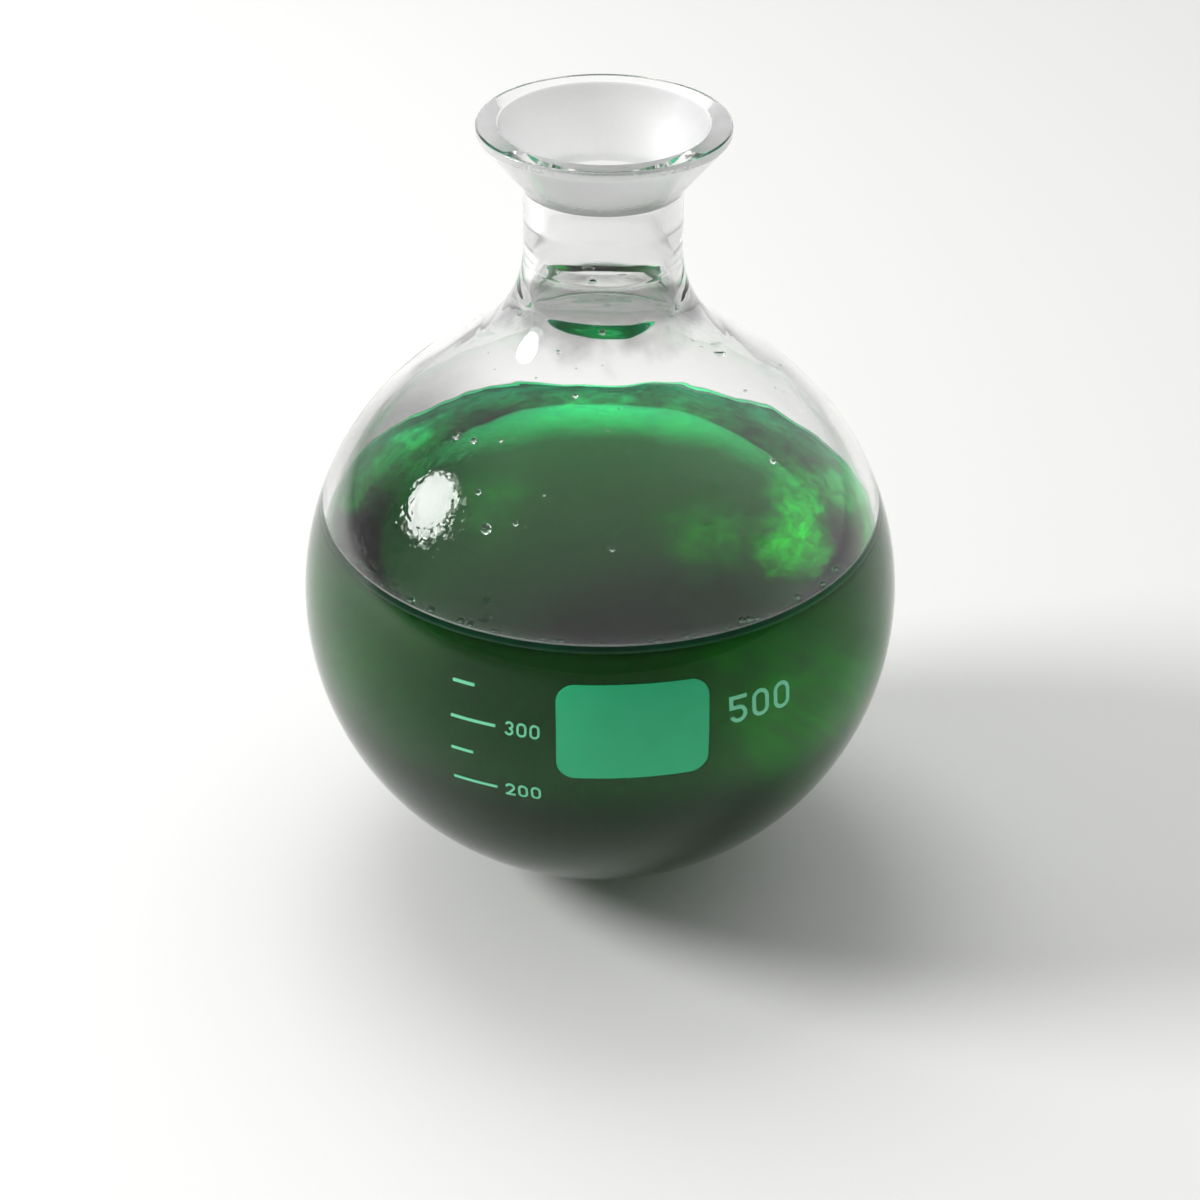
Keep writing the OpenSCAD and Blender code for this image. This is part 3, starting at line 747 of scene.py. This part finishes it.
def make_flask():
    """The bulb and the socket as the one piece of glass that the weld makes of them."""
    outside, seat, inside = glass_outline()
    line = joined(outside, seat, inside)
    seat_start = len(outside) - 1
    seat_end = seat_start + len(seat)
    finishes = []
    ripples = []
    rings = []
    for i, point in enumerate(line):
        ground = seat_start <= i < seat_end
        wetted = i >= seat_end and point[1] < LEVEL_Z + MENISCUS_RISE
        finishes.append(1.0 if ground else 2.0 if wetted else 0.0)
        ripples.append(ripple_height(point) * (OUTSIDE_RIPPLE_SHARE if i < seat_start else 1.0))
        rings.append(1.0 if i >= seat_end and point[1] > LEVEL_Z else 0.0)
    outline = line_mesh("flask_outline", line, ripple=ripples, ring=rings, finish=finishes)
    flask = grown("flask_glass", outline, LATHE, {
        **WALL_SHAPE, "Material": GLASS, "Material 1": GROUND, "Material 2": WETTED})
    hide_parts("bulb", "ball_socket")
    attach(flask, "glass")


# ---------------------------------------------------------------- the liquid
def meniscus_line(wall_r):
    """The surface's section, from the axis out over the flat and up the wall."""
    def reach(z):
        """How far out from the wall the surface has fallen to the height z above the flat."""
        ratio = 2 * CAPILLARY_LENGTH / z
        return CAPILLARY_LENGTH * math.acosh(ratio) - math.sqrt(4 * CAPILLARY_LENGTH ** 2 - z * z)
    top_z = LEVEL_Z + MENISCUS_RISE
    edge_r = math.sqrt(wall_r ** 2 - (top_z - CENTRE_Z) ** 2)
    heights = [MENISCUS_RISE * (1 - i / MENISCUS_STEPS) ** 2 for i in range(MENISCUS_STEPS)]
    curve = [(edge_r - reach(z) + reach(MENISCUS_RISE), LEVEL_Z + z) for z in heights]
    return joined(straight((0, LEVEL_Z), (curve[-1][0], LEVEL_Z))[:-1], curve[::-1])


def make_liquid():
    """The liquid against the inside of the bulb, with an edge that climbs the wall a little."""
    wall_r = BULB_R - WALL + WETTING
    surface = meniscus_line(wall_r)
    edge = surface[-1]
    edge_angle = math.degrees(math.atan2(edge[1] - CENTRE_Z, edge[0]))
    wall = arc((0, CENTRE_Z), wall_r, -90, edge_angle)
    line = joined(wall, surface[::-1])
    finishes = [1.0 if i < len(wall) else 0.0 for i in range(len(line))]
    no_ring = [0.0] * len(line)
    ripples = [0.0 if i <= len(wall) else EDGE_RIPPLE * math.exp((point[0] - edge[0]) / EDGE_RIPPLE_REACH)
               for i, point in enumerate(line)]
    outline = line_mesh("liquid_outline", line, ripple=ripples, ring=no_ring, finish=finishes)
    liquid = grown("green_liquid", outline, LATHE, {
        "Segments": SEGMENTS, "Ripple Size": EDGE_RIPPLE_SIZE, "Ring Above": 1 * MM, "Ring Below": 1 * MM,
        "Material": SOLUTION, "Material 1": SOLUTION, "Material 2": SOLUTION})
    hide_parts("solution")
    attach(liquid, "liquid")


# ---------------------------------------------------------------- drops and bubbles
def make_drops():
    """Condensed water on the inside of the shoulder, clear of the liquid at either end of its sway."""
    inside = [point for point in glass_outline()[2] if DROP_ZONE[0] < point[1] < DROP_ZONE[1]]
    none = [0.0] * len(inside)
    outline = line_mesh("drop_outline", inside, ripple=none, ring=[1.0] * len(inside), finish=none)
    zone = grown("drop_zone", outline, LATHE, {
        **WALL_SHAPE, "Material": WATER, "Material 1": WATER, "Material 2": WATER})
    face = zone.data
    bpy.data.objects.remove(zone)
    drops = grown("condensed_drops", face, BEADS, {
        "Density": 13000.0, "Seed": 7, "Smallest": 0.15 * MM, "Largest": 1.0 * MM, "Flatness": 0.5,
        "Sway": SWAY, "Clear Height": LEVEL_Z - CENTRE_Z + DROP_CLEARANCE, "Material": WATER})
    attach(drops, "glass")


def make_bubbles():
    """Small bubbles that have gathered at the front of the surface, against the wall."""
    wall_r = math.sqrt((BULB_R - WALL) ** 2 - (LEVEL_Z - CENTRE_Z) ** 2)
    across = [(wall_r - gap, rise) for gap, rise in BUBBLE_STRIP]
    turns = [math.radians(turn) for turn in range(-BUBBLE_TURN, BUBBLE_TURN + 1, BUBBLE_TURN_STEP)]
    points = [(r * math.sin(turn), -r * math.cos(turn), LEVEL_Z + z) for turn in turns for r, z in across]
    faces = [(2 * i, 2 * i + 1, 2 * i + 3, 2 * i + 2) for i in range(len(turns) - 1)]
    strip = bpy.data.meshes.new("bubble_strip")
    strip.from_pydata(points, [], faces)
    strip.update()
    if strip.polygons[0].normal.z < 0:
        strip.flip_normals()
    bubbles = grown("surface_bubbles", strip, BEADS, {
        "Density": 600000.0, "Seed": 3, "Smallest": 0.2 * MM, "Largest": 0.8 * MM, "Flatness": 0.8,
        "Sway": 0.0, "Clear Height": -1.0, "Material": WATER})
    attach(bubbles, "liquid")


make_flask()
make_liquid()
make_drops()
make_bubbles()


# ---------------------------------------------------------------- the printed marks
def set_finish(node, material):
    """Gives a CAD piece its material."""
    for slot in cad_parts[node].material_slots:
        slot.material = material


set_finish("writing_field", ENAMEL_FIELD)
for name in ("capacity_figures", "level_lines", "level_figures"):
    set_finish(name, ENAMEL_PRINT)


# ---------------------------------------------------------------- floor, light and camera
FLOOR_REACH = 4.0
# The surroundings are white at the back and to the right, and darker at the front. The numbers are their
# two radiances and the directions between which one turns into the other.
STUDIO_DARK = 0.18
STUDIO_WHITE = 0.78
WHITE_SETS_IN = (-0.35, 0.5)
WHITE_TO_THE_RIGHT = 0.35

CAMERA_PLACE = (0, -405.2 * MM, 309.8 * MM)
CAMERA_AIM = (0, 0, CENTRE_Z - 3.2 * MM)
CAMERA_SENSOR = 36
CAMERA_LENS = 80.44
CAMERA_ROLL = math.radians(0.5)


def make_floor():
    """A wide sheet of white paper that the flask stands on."""
    corners = [(x * FLOOR_REACH, y * FLOOR_REACH, 0) for x, y in ((-1, -1), (1, -1), (1, 1), (-1, 1))]
    mesh = bpy.data.meshes.new("floor")
    mesh.from_pydata(corners, [], [(0, 1, 2, 3)])
    mesh.materials.append(PAPER)
    floor = bpy.data.objects.new("floor", mesh)
    bpy.context.scene.collection.objects.link(floor)


def make_softbox(name, direction, distance, width, height, radiance, shape="RECTANGLE"):
    """A flat lamp that faces the bulb's centre from a direction. Its radiance is what a mirror shows."""
    lamp = bpy.data.lights.new(name, "AREA")
    lamp.shape = shape
    lamp.size = width
    lamp.size_y = height
    lamp.energy = radiance * math.pi * width * height
    box = bpy.data.objects.new(name, lamp)
    bpy.context.scene.collection.objects.link(box)
    aim = Vector((0, 0, CENTRE_Z))
    box.location = aim + Vector(direction).normalized() * distance
    box.rotation_euler = (aim - box.location).to_track_quat("-Z", "Y").to_euler()


def make_world():
    """White surroundings behind the flask, and a darker studio in front of it."""
    world = bpy.data.worlds.new("studio")
    bpy.context.scene.world = world
    world.use_nodes = True
    tree = world.node_tree
    tree.nodes.clear()
    way = add_node(tree, "ShaderNodeTexCoord")
    axes = add_node(tree, "ShaderNodeSeparateXYZ", {0: way.outputs["Generated"]})
    aside = add_node(tree, "ShaderNodeMath", {0: axes.outputs["X"], 1: WHITE_TO_THE_RIGHT},
                     operation="MULTIPLY")
    back = add_node(tree, "ShaderNodeMath", {0: axes.outputs["Y"], 1: aside.outputs[0]}, operation="ADD")
    light = add_node(tree, "ShaderNodeMapRange", {"Value": back.outputs[0], "From Min": WHITE_SETS_IN[0],
                                                  "From Max": WHITE_SETS_IN[1], "To Min": STUDIO_DARK,
                                                  "To Max": STUDIO_WHITE}, interpolation_type="SMOOTHSTEP")
    glow = add_node(tree, "ShaderNodeBackground", {"Color": light.outputs["Result"], "Strength": 1.0})
    add_node(tree, "ShaderNodeOutputWorld", {"Surface": glow.outputs[0]})


def make_camera():
    """The view from in front and a little above."""
    camera_data = bpy.data.cameras.new("camera")
    camera_data.sensor_width = CAMERA_SENSOR
    camera_data.lens = CAMERA_LENS
    camera = bpy.data.objects.new("camera", camera_data)
    bpy.context.scene.collection.objects.link(camera)
    camera.location = CAMERA_PLACE
    turn = (Vector(CAMERA_AIM) - camera.location).to_track_quat("-Z", "Y")
    camera.rotation_euler = (turn @ Quaternion((0, 0, 1), CAMERA_ROLL)).to_euler()
    bpy.context.scene.camera = camera


make_floor()
# A round window on the left, which the glass mirrors, and a wide soft ceiling.
make_softbox("key_light", direction=(-0.87, -0.02, 0.49), distance=1.0, width=0.36, height=0.36,
             radiance=21, shape="ELLIPSE")
make_softbox("top_light", direction=(-0.2, 0.45, 1.0), distance=1.5, width=0.8, height=0.8, radiance=3.2)
make_world()
make_camera()

scene = bpy.context.scene
scene.view_settings.view_transform = "Standard"
# Light is thrown to and fro many times inside the liquid and the thick glass before it comes out.
scene.cycles.max_bounces = 28
scene.cycles.glossy_bounces = 20
scene.cycles.transmission_bounces = 28
